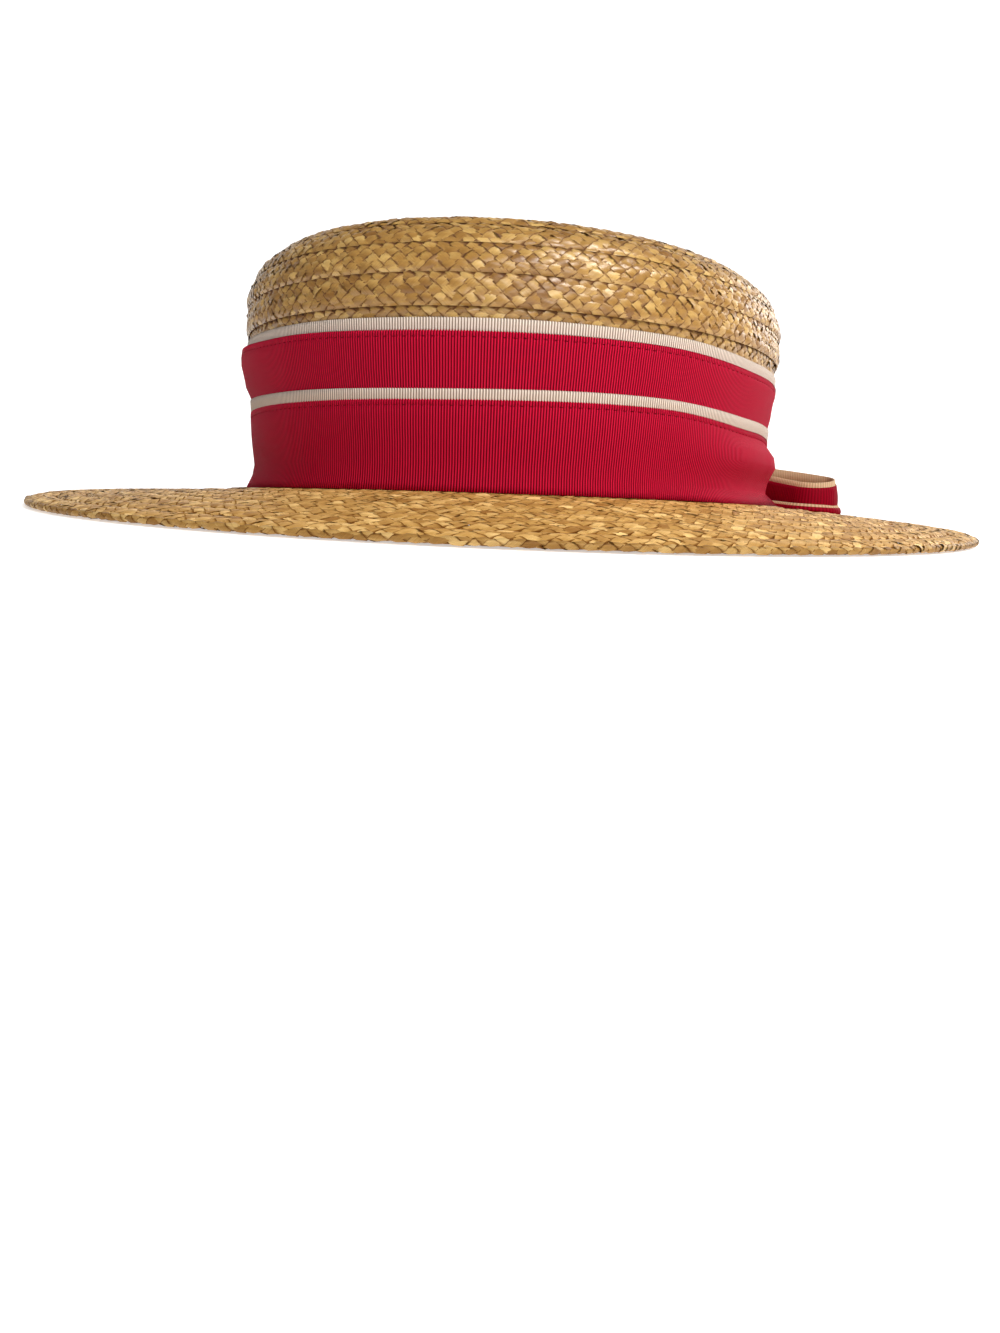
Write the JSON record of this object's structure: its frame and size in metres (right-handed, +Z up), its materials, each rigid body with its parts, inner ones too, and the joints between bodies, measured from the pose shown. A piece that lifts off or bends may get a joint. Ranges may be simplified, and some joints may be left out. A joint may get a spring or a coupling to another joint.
{
  "type": "straw boater hat",
  "caption": "Oval sewn-braid straw boater with a flat-topped crown, a wide shallow brim, a two-tier red and white grosgrain band and a side bow; worn on the head.",
  "frame": {"origin": "middle of the brim's oval, on the floor under the brim's edge", "axes": "+Z up out of the top of the crown, -Y to the front of the hat, +X to the wearer's left, the side of the bow"},
  "size_m": [0.3012, 0.3332, 0.0806],
  "materials": {
    "straw": "plaited natural wheat straw, satin",
    "red_ribbon": "ribbed grosgrain, matt with a soft sheen",
    "white_ribbon": "ribbed grosgrain, matt"
  },
  "bodies": {
    "root": {"crown": "straw", "brim": "straw", "brim_edge": "straw", "upper_trim": "white_ribbon", "upper_ribbon": "red_ribbon", "lower_trim": "white_ribbon", "lower_ribbon": "red_ribbon", "bow_upper_lining": "white_ribbon", "bow_upper_loops": "red_ribbon", "bow_lower_lining": "white_ribbon", "bow_lower_loops": "red_ribbon", "bow_knot": "red_ribbon"}
  },
  "joints": []
}
